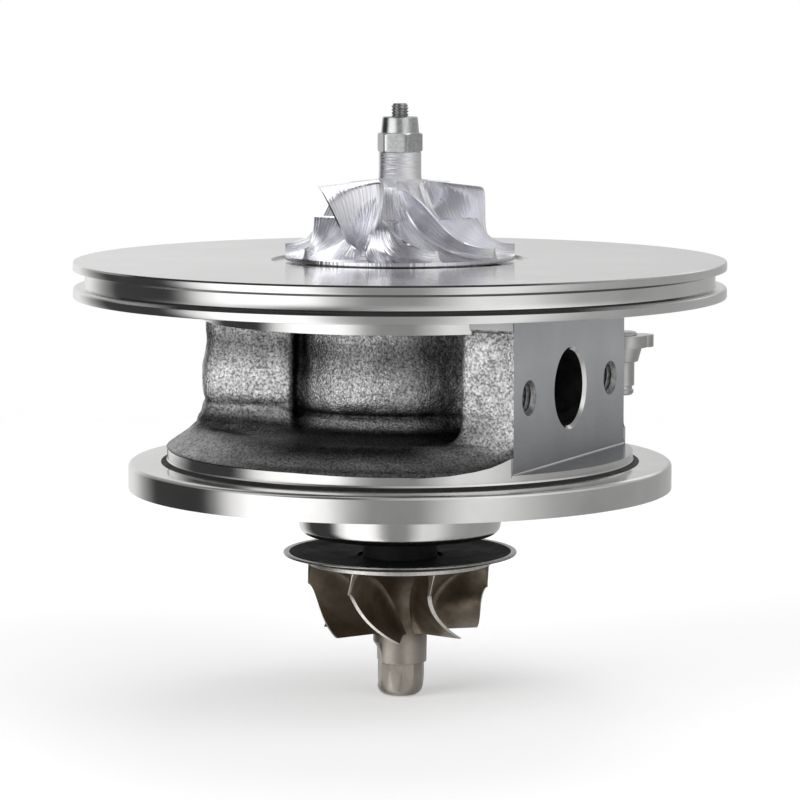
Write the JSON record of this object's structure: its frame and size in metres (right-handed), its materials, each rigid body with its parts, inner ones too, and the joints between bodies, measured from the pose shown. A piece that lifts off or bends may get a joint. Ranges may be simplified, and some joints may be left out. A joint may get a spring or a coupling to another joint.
{
  "type": "turbocharger cartridge",
  "caption": "Turbocharger cartridge: cast bearing housing between a grooved backplate and a turbine flange, with a bladed rotor on floating bushes, a loose heat shield and a nozzle lever.",
  "frame": {"origin": "on the rotor axis at the turbine flange's seat face", "axes": "+Z along the rotor axis towards the compressor, +X out of the oil drain pad"},
  "size_m": [0.125, 0.125, 0.1143],
  "materials": {
    "cast_housing": "sand cast with turned and milled faces",
    "turned_plate": "turned",
    "seal_rubber": "matte",
    "fastener_steel": "blackened",
    "bearing_bronze": "machined",
    "sheet_steel": "pressed sheet",
    "ring_iron": "ground",
    "ground_steel": "ground",
    "turbine_alloy": "investment cast",
    "milled_aluminium": "milled",
    "nut_steel": "zinc plated",
    "lever_steel": "satin"
  },
  "bodies": {
    "housing": {"bearing_housing": "cast_housing", "compressor_backplate": "turned_plate", "backplate_o_ring": "seal_rubber", "backplate_screws": "fastener_steel", "thrust_bearing": "bearing_bronze", "thrust_bearing_pins": "fastener_steel", "oil_deflector": "sheet_steel", "compressor_piston_ring": "ring_iron", "turbine_piston_rings": "ring_iron", "bearing_snap_rings": "fastener_steel", "lever_bush_upper": "bearing_bronze", "lever_bush_lower": "bearing_bronze"},
    "rotor": {"rotor_shaft": "ground_steel", "turbine_wheel": "turbine_alloy", "compressor_wheel": "milled_aluminium", "lock_nut": "nut_steel", "thrust_collar": "ground_steel", "oil_flinger": "ground_steel"},
    "compressor_bush": {"compressor_journal_bearing": "bearing_bronze"},
    "turbine_bush": {"turbine_journal_bearing": "bearing_bronze"},
    "shield": {"heat_shield": "sheet_steel"},
    "lever": {"lever_arm": "lever_steel", "lever_shaft": "lever_steel", "lever_pin": "lever_steel", "inner_crank": "lever_steel", "crank_finger": "lever_steel"}
  },
  "joints": [
    {"name": "rotor_spin", "type": "hinge", "parent": "housing", "child": "rotor", "pos_m": [0, 0, 0], "axis": [0, 0, 1], "continuous": true},
    {"name": "compressor_bush_spin", "type": "hinge", "parent": "housing", "child": "compressor_bush", "pos_m": [0, 0, 0], "axis": [0, 0, 1], "continuous": true},
    {"name": "turbine_bush_spin", "type": "hinge", "parent": "housing", "child": "turbine_bush", "pos_m": [0, 0, 0], "axis": [0, 0, 1], "continuous": true},
    {"name": "shield_lift", "type": "slide", "parent": "housing", "child": "shield", "axis": [0, 0, 1], "range_m": [0, 0.004]},
    {"name": "lever_swing", "type": "hinge", "parent": "housing", "child": "lever", "pos_m": [0.00452, 0.03964, 0], "axis": [0, 0, 1], "range_deg": [-20, 35]}
  ]
}
